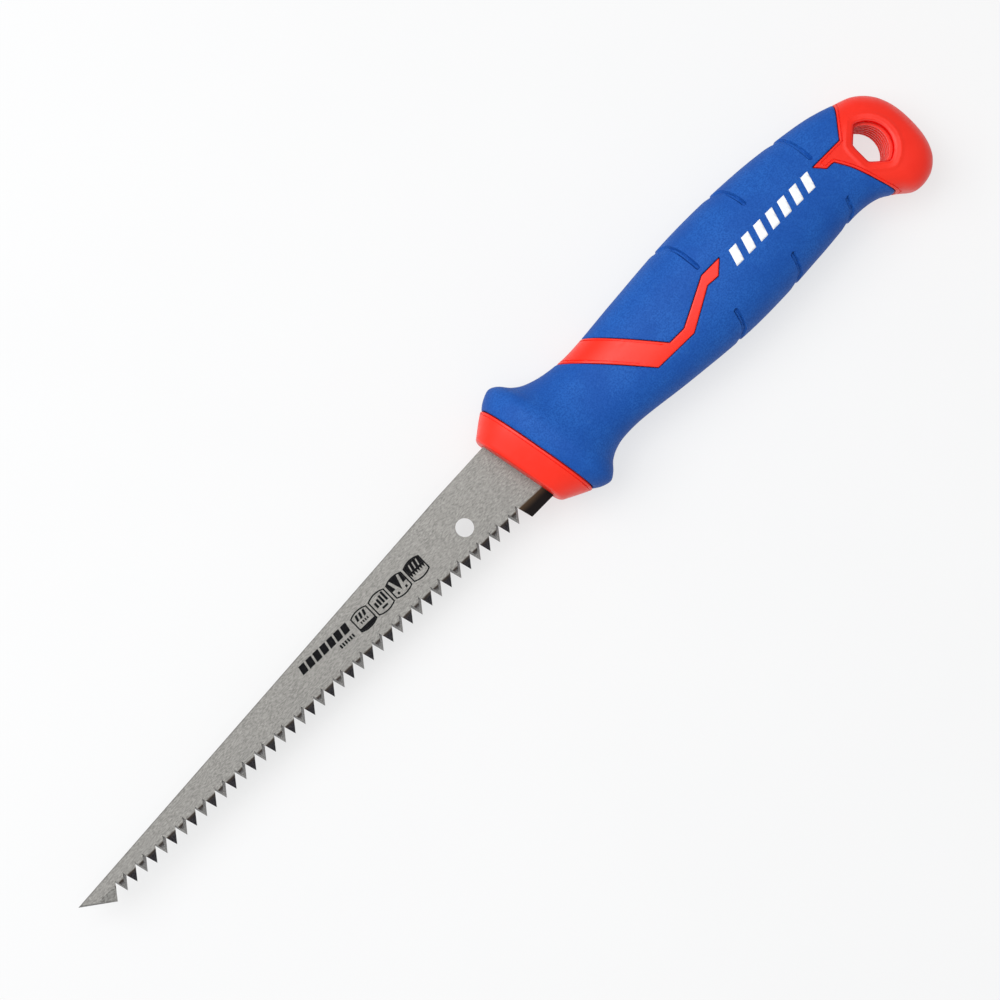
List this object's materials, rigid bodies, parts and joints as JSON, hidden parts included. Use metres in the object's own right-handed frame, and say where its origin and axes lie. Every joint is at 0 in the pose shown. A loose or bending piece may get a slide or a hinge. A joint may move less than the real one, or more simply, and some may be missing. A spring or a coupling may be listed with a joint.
{
  "type": "drywall saw",
  "caption": "Fixed-blade jab saw: tapered, pointed toothed blade with a round hole, moulded into a flared two-colour handle with a hanging hole in its hooked butt.",
  "frame": {"origin": "centre of the round hole in the blade, on the blade's mid-plane", "axes": "+X runs along the saw towards the butt of the handle (the blade's point is at -X), +Y towards the spine (the teeth point to -Y), +Z out of the printed face of the blade"},
  "size_m": [0.3141, 0.0456, 0.0272],
  "materials": {
    "blade_steel": "fine lengthwise brushing, ground and darkened along the toothed strip",
    "core_plastic": "semi-gloss red polypropylene",
    "grip_rubber": "matte blue soft grip"
  },
  "bodies": {
    "root": {"blade": "blade_steel", "core": "core_plastic", "grip": "grip_rubber"}
  },
  "joints": []
}
